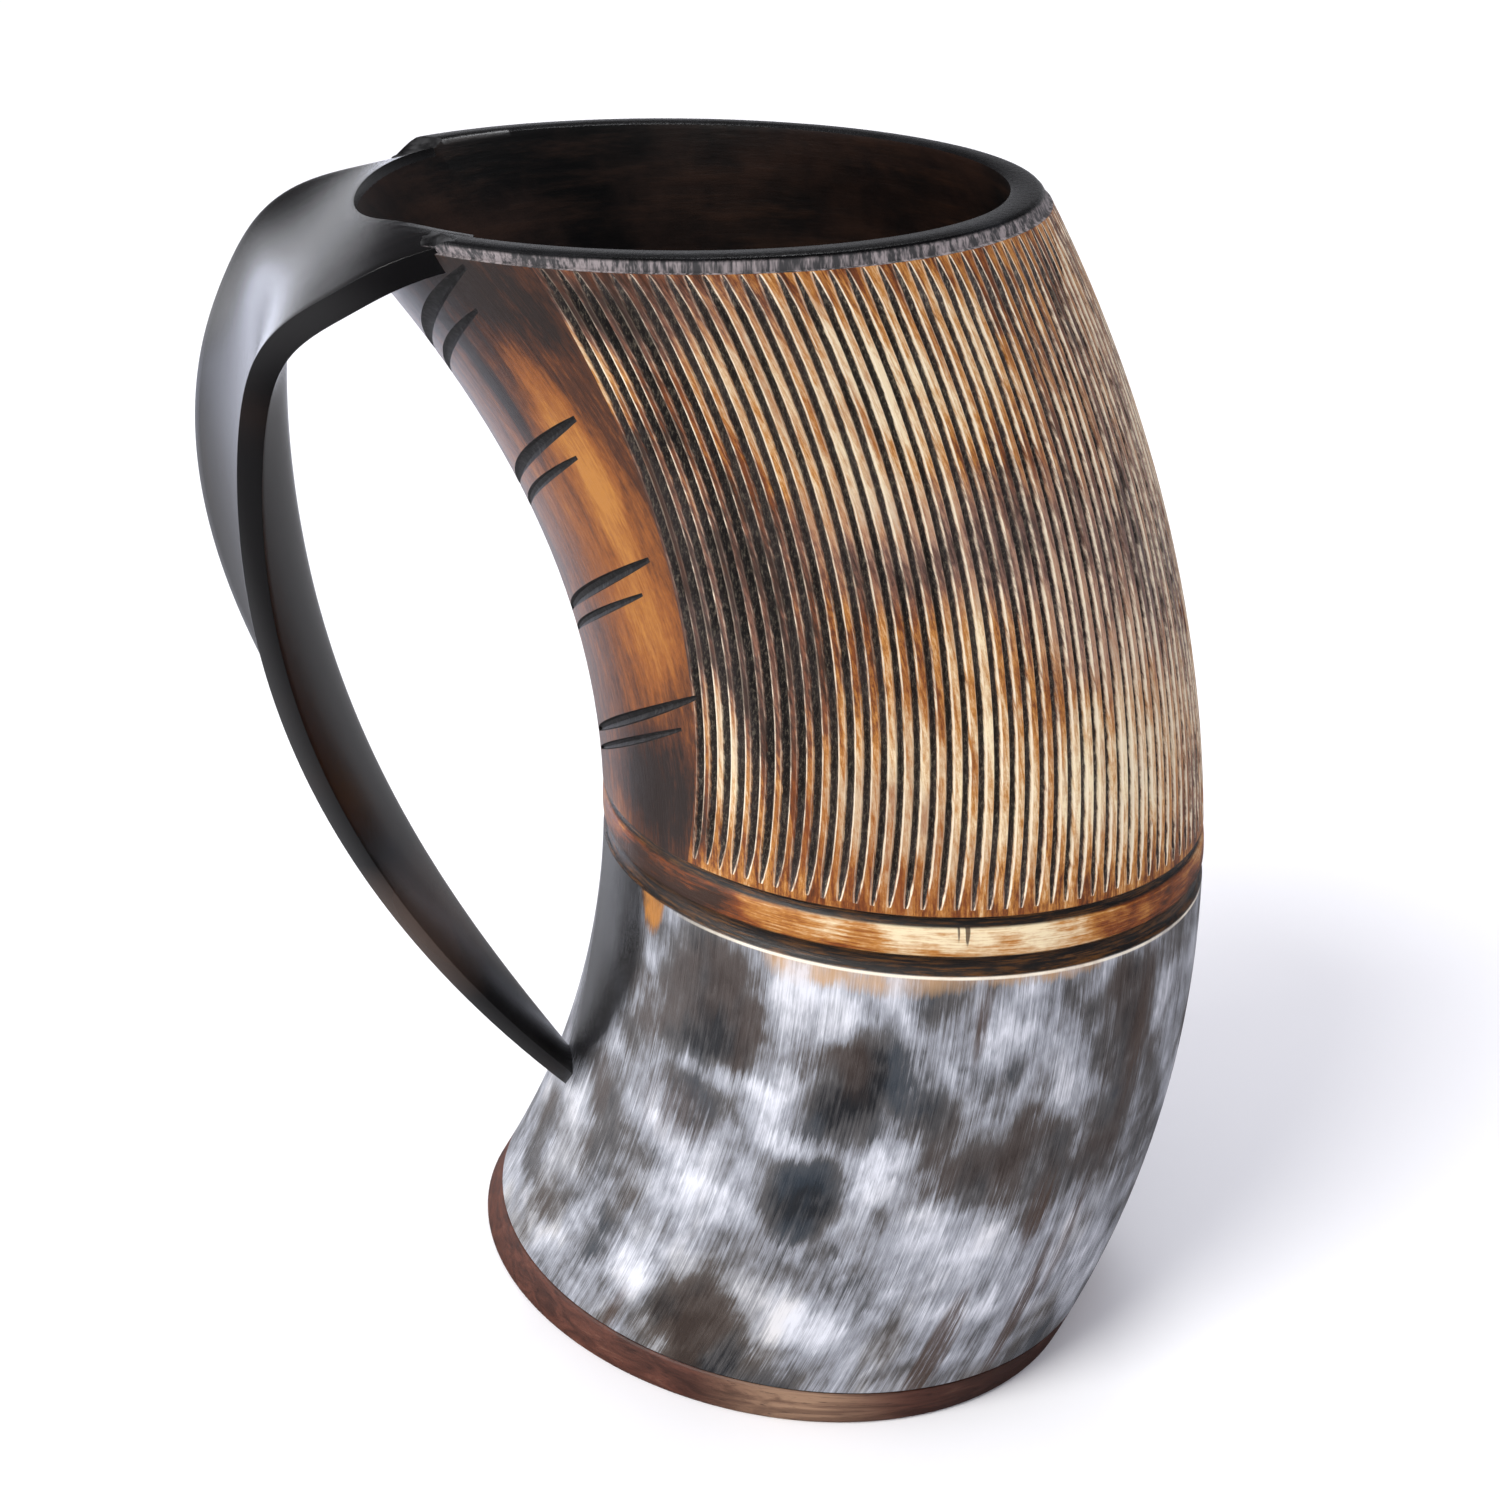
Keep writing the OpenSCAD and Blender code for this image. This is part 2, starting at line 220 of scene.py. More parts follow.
def smooth(x, low, high):
    """Eases from 0 to 1 while x goes from low to high."""
    s = np.clip((x - low) / (high - low), 0, 1)
    return s * s * (3 - 2 * s)


def sheet(name, rows, maps=None):
    """A grid whose points are moved to rows of places, in millimetres, and whose seams are merged."""
    m, n = rows.shape[:2]
    bpy.ops.object.select_all(action="DESELECT")
    bpy.ops.mesh.primitive_grid_add(x_subdivisions=n - 1, y_subdivisions=m - 1, size=1)
    piece = bpy.context.object
    piece.name = piece.data.name = name
    mesh = piece.data
    spots = np.empty(len(mesh.vertices) * 3)
    mesh.vertices.foreach_get("co", spots)
    spots = spots.reshape(-1, 3)
    column = np.rint((spots[:, 0] + 0.5) * (n - 1)).astype(int)
    row = np.rint((spots[:, 1] + 0.5) * (m - 1)).astype(int)
    mesh.vertices.foreach_set("co", (rows[row, column] * MM).ravel())
    corner = np.empty(len(mesh.loops), int)
    mesh.loops.foreach_get("vertex_index", corner)
    for old in list(mesh.uv_layers):
        mesh.uv_layers.remove(old)
    for key, values in (maps or {}).items():
        layer = mesh.uv_layers.new(name=key)
        layer.data.foreach_set("uv", values[row, column][corner].astype(np.float32).ravel())
    mesh.update()
    bpy.ops.object.mode_set(mode="EDIT")
    bpy.ops.mesh.select_all(action="SELECT")
    bpy.ops.mesh.remove_doubles(threshold=1e-6)
    bpy.ops.mesh.normals_make_consistent(inside=False)
    bpy.ops.object.mode_set(mode="OBJECT")
    return piece


def pick(piece):
    """Selects one piece alone and makes it the active one."""
    bpy.ops.object.select_all(action="DESELECT")
    bpy.context.view_layer.objects.active = piece
    piece.select_set(True)


def apply(piece, kind, **settings):
    """Gives a piece a modifier of this kind, and applies it."""
    pick(piece)
    modifier = piece.modifiers.new(kind.title(), kind)
    for key, value in settings.items():
        setattr(modifier, key, value)
    bpy.ops.object.modifier_apply(modifier=modifier.name)


def cut(piece, tool):
    """Takes a closed tool's shape out of a piece, then removes the tool."""
    apply(piece, "BOOLEAN", operation="DIFFERENCE", object=tool, solver="MANIFOLD", material_mode="TRANSFER")
    bpy.data.objects.remove(tool, do_unlink=True)
    if not piece.data.polygons:
        raise RuntimeError(f"nothing is left of {piece.name} after a cut")


def soften(piece, degrees):
    """Shades a piece smooth, apart from edges sharper than this."""
    pick(piece)
    bpy.ops.object.shade_smooth_by_angle(angle=math.radians(degrees))


def settle(piece, node):
    """Makes a piece ride on the root, and hides the part of model.glb that it replaces."""
    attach(piece, "root")
    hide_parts(node)


def steps(low, high, count, inset=0):
    """Rings at equal steps of height, as pairs of height and inset."""
    return [(z, inset) for z in np.linspace(low, high, count)]


def closed(rows):
    """Rows that come back to their first points."""
    return np.concatenate([rows, rows[:, :1]], 1)


def capped(rows, low, high):
    """Rows with one more before them, all in the point low, and one after them, all in the point high."""
    ends = [np.broadcast_to(np.asarray(p, float), rows[:1].shape) for p in (low, high)]
    return np.concatenate([ends[0], rows, ends[1]])


def horn_columns(shape, z):
    """Angles and numbers of all columns at height z. Over the plain strip the numbers run on."""
    band_top = shape.band / MM + BAND_TALL
    top = shape.height / MM
    half = PLAIN[1] + (PLAIN[2] - PLAIN[1]) * min(1, max(0, (z - band_top) / (top - band_top)))
    n = shape.flutes
    number = np.concatenate([np.arange(i, i + 1) + np.array(ACROSS) for i in range(n)])
    t = PLAIN[0] + half + (360 - 2 * half) * number / n
    k = np.arange(PLAIN_COLUMNS + 1) / PLAIN_COLUMNS
    plain = PLAIN[0] - half + 2 * half * k + 360
    return np.concatenate([t, plain]), np.concatenate([number, n + 20 * k])


def flute_ends(shape):
    """Heights at which the flutes start and end."""
    return shape.band / MM + BAND_TALL + FLUTE_GAPS[0], shape.height / MM - FLUTE_GAPS[1]


def flute_depth(shape, t, number, z, wobble):
    """Depth of the flutes at height z, as a share, with pointed ends that differ a little."""
    i = np.floor(number).astype(int) % shape.flutes
    low, high = flute_ends(shape)
    low = low + wobble[0][i]
    # On the far right the flutes end lower
    high = high - 3 * smooth((t - 360) % 360, 275, 335) - wobble[1][i]
    share = np.clip(np.minimum((z - low) / FLUTE_POINTS[0], (high - z) / FLUTE_POINTS[1]), 0, 1)
    off = np.abs(number % 1 - 0.5) / 0.285
    return np.where(number < shape.flutes, np.maximum(0, share - off * off), 0)


class MUG_OT_body(bpy.types.Operator):
    """Models the fluted and carved horn"""

    bl_idname = "mug.body"
    bl_label = "Horn"

    def execute(self, context):
        shape, look = context.scene.mug_shape, context.scene.mug_look
        top, wall, joint, band = (v / MM for v in (shape.height, shape.wall, shape.joint, shape.band))
        low, high = flute_ends(shape)
        rings = steps(joint, band - 0.8, 22) + [(band - 0.35, 0)]
        rings += [(band + z, inset) for z, inset in BAND]
        rings += steps(low, low + 6, 8) + steps(low + 9, high - 10, 22) + steps(high - 8.4, high - 0.3, 11)
        outer = len(rings)
        rings += [(top + z, inset) for z, inset in RIM]
        rings += [(top, wall - 0.8), (top - 0.25, wall - 0.2), (top - 0.9, wall)]
        rim = len(rings)
        rings += steps(top - 8, joint, 14, wall) + [(joint, 0)]
        wobble = np.random.RandomState(11).uniform(-0.5, 0.5, (2, shape.flutes))
        rows, flutes, turns = [], [], []
        for k, (z, inset) in enumerate(rings):
            t, number = horn_columns(shape, z)
            deep = flute_depth(shape, t, number, z, wobble) * shape.flute_deep / MM if k < outer else 0
            points = oval(shape, t, z, inset + deep)
            rows.append(points if k >= rim else raised(shape, points))
            flutes.append(np.stack([number, np.full(len(t), z)], -1))
            turns.append(np.stack([np.cos(np.radians(t)), np.sin(np.radians(t))], -1))
        maps = {"Flutes": np.array(flutes), "Turn": np.array(turns)}
        piece = sheet("horn_skin", np.array(rows), maps)
        for material in (horn_material(look, shape), rim_material(look, shape), inside_material(look)):
            piece.data.materials.append(material)
        self.give_slots(piece, shape, top, wall)
        dark = cut_material(look)
        trim = over_strip(shape)
        trim.data.materials.append(plain_material("Rim_Slope", look.black, 0.22))
        cut(piece, trim)
        for share in NOTCHES:
            for slight in (0, 1):
                tool = notch(shape, band + BAND_TALL + share * (top - band - BAND_TALL) - 3 * slight, slight)
                tool.data.materials.append(dark)
                cut(piece, tool)
        soften(piece, 32)
        settle(piece, "horn_body")
        return {"FINISHED"}

    def give_slots(self, piece, shape, top, wall):
        """The rim's faces take the second material and the inner wall's the third."""
        mesh = piece.data
        n = len(mesh.polygons)
        centre = np.empty(n * 3)
        mesh.polygons.foreach_get("center", centre)
        centre = centre.reshape(-1, 3) / MM
        slot = np.zeros(n, int)
        slot[centre[:, 2] > top + RIM[0][0]] = 1
        inner = within(shape, centre, wall * 0.7) & (centre[:, 2] < top - 0.5)
        slot[inner] = 2
        mesh.polygons.foreach_set("material_index", slot)


def bezier(values, u):
    """The Bezier curve's value at u, from its guide values."""
    values = list(values)
    while len(values) > 1:
        values = [a + (b - a) * u for a, b in zip(values, values[1:])]
    return values[0]


def hill(u, middle, width):
    """1 at the middle, and soon 0 to both sides of it."""
    return np.exp(-(((u - middle) / width) ** 2))


def strip_point(shape, u, v, lift=0):
    """Points of the strip, and their directions away from the horn.

    u runs from 0 at the root to 1 at the tip, and v from -1 at the near edge to 1 at the far edge.
    """
    u, v = np.broadcast_arrays(np.asarray(u, float), np.asarray(v, float))
    tip = shape.tip / MM
    root = LEAN[-1] - ROOT
    sunk = shape.strip / MM * 0.8
    end = side_at(shape, tip, shape.side / MM)
    xs = [root - r for r in REACH] + [end + sunk]
    zs = list(RISE) + [tip - sunk]
    slope = [5 * bezier([b - a for a, b in zip(q, q[1:])], u) for q in (xs, zs)]
    scale = np.hypot(*slope)
    zero = np.zeros_like(u)
    out = np.stack([slope[1] / scale, zero, -slope[0] / scale], -1)
    level = np.stack([zero, zero + 1, zero], -1)
    angle = np.radians(bezier(TWIST, u))[..., None]
    width, hollow = bezier(WIDTH, u)[..., None], bezier(HOLLOW, u)[..., None]
    across = np.cos(angle) * level + np.sin(angle) * out
    face = np.cos(angle) * out - np.sin(angle) * level
    v = v[..., None]
    normal = face - 4 * v * hollow * across
    normal = normal / np.linalg.norm(normal, axis=-1, keepdims=True)
    # The edges keep to the rim's height a little longer than the middle, and start inside the wall
    kept = 0.75 * v[..., 0] ** 2 * hill(u, 0.05, 0.045)
    width = width * (1 - 0.13 * hill(u, 0, 0.045))[..., None]
    # The far half of the bend stands out more
    stand = 1.7 * (0.5 + 0.5 * v) * hill(u, 0.24, 0.1)[..., None]
    middle = np.stack([bezier(xs, u), zero + shape.side / MM, bezier(zs, u) + kept], -1)
    point = middle + v * width / 2 * across - (1 - v * v) * hollow * width * face + stand * face
    # No part of the root rises over the rim
    over = point[..., 2] - (shape.height / MM - shape.strip / MM / 2 - 0.1)
    point[..., 2] -= (over + np.hypot(over, 0.3)) / 2
    return point + lift * normal, out


def side_at(shape, z, y):
    """The horn's surface on the handle's side, at height z and place y."""
    t = np.linspace(150, 260, 2000)
    points = oval(shape, t, z)
    return float(points[np.abs(points[:, 1] - y).argmin(), 0])


def meeting(shape, v, low, high, inset, leaving):
    """Where lines along the strip cross the horn's wall at this inset, by halving the span."""
    low, high = np.full(len(v), low), np.full(len(v), high)
    for _ in range(24):
        middle = (low + high) / 2
        inside = within(shape, strip_point(shape, middle, v)[0], inset)
        on = inside if leaving else ~inside
        low, high = np.where(on, middle, low), np.where(on, high, middle)
    return low


def over_strip(shape):
    """A tool that fills the space over the strip's root, where the rim runs down to it."""
    half = shape.strip / MM / 2
    v = np.linspace(-1, 1, 25)
    rows = []
    for u in np.linspace(0.32, -0.02, 70):
        # The tool's face lies just inside the strip, rises at the root and sinks into the strip further out
        lift = half - 0.3 + 0.9 * (1 - smooth(u, 0, 0.05)) - half * smooth(u, 0.12, 0.25)
        low, out = strip_point(shape, np.full(25, u), v, lift)
        near, far, up, level = low[0], low[-1], out[0], np.array([0, 1, 0])
        # Its sides slope outwards and up, and it ends well over the rim
        slope = [near + 3 * up - 10 * level, far + 3 * up + 10 * level]
        rows.append([slope[0] + 60 * up, slope[0], *low, slope[1], slope[1] + 60 * up])
    rows = np.array(rows)
    ends = [(r[0] + r[-1]) / 2 for r in (rows[0], rows[-1])]
    return sheet("rim_trim", closed(capped(rows, *ends)))


def notch(shape, low, slight):
    """A tool for one slanted notch in the plain strip. The lower one of a pair is slighter."""
    rows = []
    a = np.linspace(0, 2 * math.pi, 9)[:-1]
    for s in np.linspace(0, 1, 14):
        z, t = low + (17.5 - 2.5 * slight) * s, 215 + (44 - 5 * slight) * s
        reach = 0.62 * (1.5 - 0.4 * slight) * math.sin(math.pi * (0.06 + 0.88 * s)) ** 0.6
        rows.append(oval(shape, np.full(8, t), z + reach * np.cos(a), 0.2 - reach * np.sin(a)))
    rows = np.array(rows)
    return sheet("notch_tool", closed(capped(rows, rows[0].mean(0), rows[-1].mean(0))))


class MUG_OT_handle(bpy.types.Operator):
    """Models the strip of horn that is bent over the rim and down to the belly"""

    bl_idname = "mug.handle"
    bl_label = "Handle"

    def execute(self, context):
        shape, look = context.scene.mug_shape, context.scene.mug_look
        v = np.linspace(-1, 1, 33)
        v = np.sin(v * math.pi / 2) * 0.35 + v * 0.65
        # From the inner wall to a little under the belly's surface
        start = meeting(shape, v, 0, 0.3, shape.wall / MM, True)
        end = meeting(shape, v, 0.7, 1, 0, False) + 0.004
        s = np.linspace(0, 1, 120)[:, None]
        u = start + (end - start) * s
        rows = strip_point(shape, u, np.broadcast_to(v, u.shape))[0]
        maps = {"Strip": np.stack([np.broadcast_to(v, u.shape), np.broadcast_to(s, u.shape)], -1)}
        piece = sheet("handle_skin", rows, maps)
        apply(piece, "SOLIDIFY", thickness=shape.strip, offset=0, use_even_offset=True)
        sharp = math.radians(60)
        apply(piece, "BEVEL", width=0.55 * MM, segments=3, limit_method="ANGLE", angle_limit=sharp)
        piece.data.materials.append(handle_material(look))
        soften(piece, 40)
        settle(piece, "handle")
        return {"FINISHED"}


def lathe(shape, name, profile, columns=180):
    """A closed oval piece from pairs of height and inset, where no inset means the middle."""
    t = np.linspace(0, 360, columns + 1)
    rows = []
    for z, inset in profile:
        ring = oval(shape, t, z, 0 if inset is None else inset)
        rows.append(np.broadcast_to(ring[:-1].mean(0), ring.shape) if inset is None else ring)
    return sheet(name, np.array(rows))


class MUG_OT_base(bpy.types.Operator):
    """Models the wooden disc and the glue line over it"""

    bl_idname = "mug.base"
    bl_label = "Base"

    def execute(self, context):
        shape, look = context.scene.mug_shape, context.scene.mug_look
        disc, joint, wall = (v / MM for v in (shape.disc, shape.joint, shape.wall))
        plug = wall + PLUG_GAP
        profile = [(0, None), (0, 20), (0, 2), (0, 0.7), (0.2, 0.25), (0.7, 0.02), (2.4, 0)]
        profile += [(disc - 0.4, 0), (disc - 0.1, 0.1), (disc, 0.35)]
        profile += [(disc, plug), (disc + PLUG, plug), (disc + PLUG, None)]
        wood = lathe(shape, "base_wood", profile)
        wood.data.materials.append(wood_material(look))
        soften(wood, 50)
        profile = [(disc, wall), (disc, 0.3), (joint, 0.3), (joint, wall), (disc, wall)]
        glue = lathe(shape, "glue_ring", profile)
        glue.data.materials.append(plain_material("Glue", look.black, 0.5))
        soften(glue, 40)
        for piece, node, slot in ((wood, "base_disc", "walnut"), (glue, "glue_line", "glue")):
            settle(piece, node)
        return {"FINISHED"}


class MUG_OT_seal(bpy.types.Operator):
    """Models the poured seal inside, which climbs the wall a little at its edge"""

    bl_idname = "mug.seal"
    bl_label = "Seal"

    def execute(self, context):
        shape, look = context.scene.mug_shape, context.scene.mug_look
        low, top, wall = shape.disc / MM + PLUG, shape.floor / MM, shape.wall / MM
        profile = [(low, None), (low, wall), (top, wall), (top - 0.35, wall + 0.7), (top - 0.5, wall + 2)]
        profile += [(top - 0.55, wall + 10), (top - 0.55, None)]
        piece = lathe(shape, "seal_pour", profile)
        piece.data.materials.append(plain_material("Seal", look.brown, 0.2))
        soften(piece, 50)
        settle(piece, "base_seal")
        return {"FINISHED"}


# ---- materials ----

WHITE = (1, 1, 1)


def blended(a, b, share):
    """The colour that lies this share of the way from a to b."""
    return tuple(p + (q - p) * share for p, q in zip(a, b))


class Value:
    """A socket whose Python operators add Math nodes."""

    def __init__(self, tree, socket):
        self.tree, self.socket = tree, socket

    def math(self, operation, *values):
        return self.tree.node("Math", {"operation": operation}, dict(enumerate(values)))

    def __add__(self, other):
        return self.math("ADD", self, other)

    __radd__ = __add__

    def __sub__(self, other):
        return self.math("SUBTRACT", self, other)

    def __rsub__(self, other):
        return self.math("SUBTRACT", other, self)

    def __neg__(self):
        return self.math("MULTIPLY", self, -1)

    def __mul__(self, other):
        return self.math("MULTIPLY", self, other)

    __rmul__ = __mul__

    def __truediv__(self, other):
        return self.math("DIVIDE", self, other)

    def above(self, limit):
        return self.math("GREATER_THAN", self, limit)

    def most(self, other):
        return self.math("MAXIMUM", self, other)

    def least(self, other):
        return self.math("MINIMUM", self, other)

    def size(self):
        return self.math("ABSOLUTE", self)

    def floor(self):
        return self.math("FLOOR", self)

    def fraction(self):
        return self.math("FRACT", self)

    def power(self, exponent):
        return self.math("POWER", self, exponent)

    def clamped(self):
        return self.most(0).least(1)

    def swing(self, width):
        """A noise, which lies round a half, made to lie round 0 at this width."""
        return (self - 0.5) * width

    def between(self, low, high, start=0, end=1):
        """Eases from start to end while the value goes from low to high."""
        return self.tree.node(
            "MapRange",
            {"interpolation_type": "SMOOTHSTEP"},
            {"Value": self, "From Min": low, "From Max": high, "To Min": start, "To Max": end},
        )


class Tree:
    """The nodes of a new material, or of the world, with one method that adds any of them."""

    def __init__(self, name, world=None):
        self.material = world or bpy.data.materials.new(name)
        self.material.use_nodes = True
        self.nodes = self.material.node_tree.nodes
        self.links = self.material.node_tree.links
        self.shader = self.nodes.get("Principled BSDF")

    def node(self, kind, settings=None, inputs=None, output=0):
        node = self.nodes.new("ShaderNode" + kind)
        for key, value in (settings or {}).items():
            if key == "stops":
                ramp = node.color_ramp
                while len(ramp.elements) < len(value):
                    ramp.elements.new(1)
                for element, (place, tint) in zip(ramp.elements, value):
                    element.position, element.color = place, (*tint, 1)
            else:
                setattr(node, key, value)
        for key, value in (inputs or {}).items():
            self.give(node.inputs[key], value)
        return Value(self, node.outputs[output])

    def give(self, socket, value):
        if isinstance(value, Value):
            self.links.new(value.socket, socket)
        elif socket.type == "RGBA" and len(value) == 3:
            socket.default_value = (*value, 1)
        else:
            socket.default_value = value

    def place(self):
        return self.node("TexCoord", output="Object")

    def vector(self, x, y, z):
        return self.node("CombineXYZ", None, {0: x, 1: y, 2: z})

    def parts(self, vector):
        node = self.node("SeparateXYZ", None, {0: vector}).socket.node
        return [Value(self, s) for s in node.outputs]

    def stretched(self, vector, scale):
        return self.node("Mapping", None, {"Vector": vector, "Scale": scale})

    def noise(self, vector, scale, detail=4, rough=0.55, warp=0):
        inputs = {"Vector": vector, "Scale": scale, "Detail": detail, "Roughness": rough, "Distortion": warp}
        return self.node("TexNoise", None, inputs)

    def ramp(self, value, stops):
        return self.node("ValToRGB", {"stops": stops}, {0: value})

    def mix(self, share, a, b, blend="MIX"):
        node = self.nodes.new("ShaderNodeMix")
        node.data_type, node.blend_type = "RGBA", blend
        self.give(node.inputs[0], share)
        self.give(node.inputs[6], a)
        self.give(node.inputs[7], b)
        return Value(self, node.outputs[2])

    def bump(self, height, strength, distance, normal=None):
        inputs = {"Height": height, "Strength": strength, "Distance": distance}
        if normal:
            inputs["Normal"] = normal
        return self.node("Bump", None, inputs)

    def finish(self, **sockets):
        for key, value in sockets.items():
            self.give(self.shader.inputs[key.replace("_", " ")], value)
        return self.material


# Mean half axis of the horn, in millimetres, round which the noises of its surface are laid
GIRTH = 43
# Clouds of colour on the horn: turn in degrees; height, half width and half height in millimetres; weight
CLOUDS = {
    "dark": (
        (256, 66, 9, 9, 0.62), (262, 57, 8, 6, 0.4), (290, 60, 5, 9, 0.6), (286, 50, 7, 6, 0.5),
        (259, 46, 8, 6, 0.5), (316, 45, 12, 9, 0.45), (330, 38, 10, 8, 0.4), (285, 37, 6, 8, 0.75),
        (275, 15, 8, 7, 0.75), (283, 7, 6, 5, 0.45), (338, 64, 8, 12, 0.55), (300, 70, 6, 4, 0.25),
        (246, 32, 12, 9, 0.3), (297, 24, 6, 5, 0.25), (345, 45, 10, 18, 0.3),
        (268, 62, 3, 12, 0.3), (302, 52, 5, 5, 0.35), (255, 24, 5, 6, 0.3),
    ),
    "pale": (
        (275, 51, 6, 6, 0.6), (268, 36, 8, 9, 0.35), (309, 29, 13, 10, 0.5), (297, 43, 7, 6, 0.4),
        (277, 66, 9, 7, 0.55), (308, 62, 7, 8, 0.4), (290, 20, 10, 8, 0.4), (322, 18, 10, 9, 0.35),
        (262, 20, 9, 8, 0.3), (262, 52, 12, 2.5, 0.5), (280, 45, 8, 2.5, 0.4),
    ),
    # Painted reflection: the black handle mirrored in the polished belly under it
    "painted handle reflection": ((226, 64, 12, 22, 2.6), (224, 48, 8.5, 17, 1.4)),
    "rust": (
        (319.5, 12, 2.4, 13, 2.2), (334, 16, 1.5, 16, 1.6), (328, 36, 2.6, 8, 1.3), (308, 66, 1.3, 7, 1.1),
        (257, 44, 8, 7, 0.6), (343, 58, 3, 20, 0.8), (338, 28, 1.4, 14, 0.9), (262, 8, 1.5, 7, 0.9),
    ),
    "stain": ((288, 72.6, 15, 3.6, 1.2), (276, 72, 6, 3.5, 0.8), (318, 73, 12, 2.2, 1)),
    "tooth": ((242.5, 76, 3.2, 9.5, 3), (240.5, 76, 2, 6.5, 3)),
    "bright": (
        (258.5, 142, 4, 9, 0.6), (268, 151, 6, 8, 0.5), (263, 101, 5, 13, 0.55), (273, 138, 4, 7, 0.3),
        (300, 147, 17, 18, 0.3), (318, 152, 13, 13, 0.26), (312, 97, 28, 15, 0.28), (309, 116, 6, 14, 0.32),
        (340, 100, 15, 22, 0.28), (291, 102, 9, 15, 0.2),
    ),
    "burnt": (
        (267, 128, 19, 38, 0.42), (276, 160, 24, 7, 0.35), (300, 127, 11, 7, 0.2), (352, 130, 16, 30, 0.15),
        (252, 92, 9, 14, 0.3), (310, 131, 20, 7, 0.1),
    ),
    "red": (
        (287, 92, 12, 13, 1.5), (298, 88, 9, 8, 0.8), (283, 147, 5, 8, 0.9), (300, 150, 12, 12, 0.5),
        (258, 135, 8, 20, 0.6),
    ),
    "grey": (
        (312, 131, 26, 10, 1), (335, 121, 16, 13, 0.95), (268, 120, 15, 24, 0.75), (352, 125, 22, 34, 0.7),
        (280, 158, 22, 7, 0.6),
    ),
    "glow": (
        (250, 127, 12, 20, 0.26), (255, 142, 5, 12, 0.5), (254, 131, 4, 8, 0.3), (243, 108, 9, 14, 0.12),
        (254, 112, 8, 14, 0.16), (233, 132, 10, 22, 0.1),
    ),
    "shadow": (
        (264, 160, 11, 8, 0.3), (240, 160, 16, 11, 0.3), (243, 146, 2.5, 15, 0.45), (246, 90, 14, 12, 0.35),
    ),
    "wide flutes": ((266, 125, 22, 45, 0.5), (312, 108, 34, 60, -0.5)),
    "pale bead": ((305, 78, 24, 9, 0.28),),
    "dark bead": ((242, 78, 20, 12, 0.4), (345, 78, 14, 12, 0.15)),
    "nick": ((304, 80, 0.4, 3, 3), (302.5, 79.5, 0.25, 2, 2)),
    # Where the painted highlight along the band's lower lip shows
    "lip": ((312, 72, 46, 30, 2.2),),
}


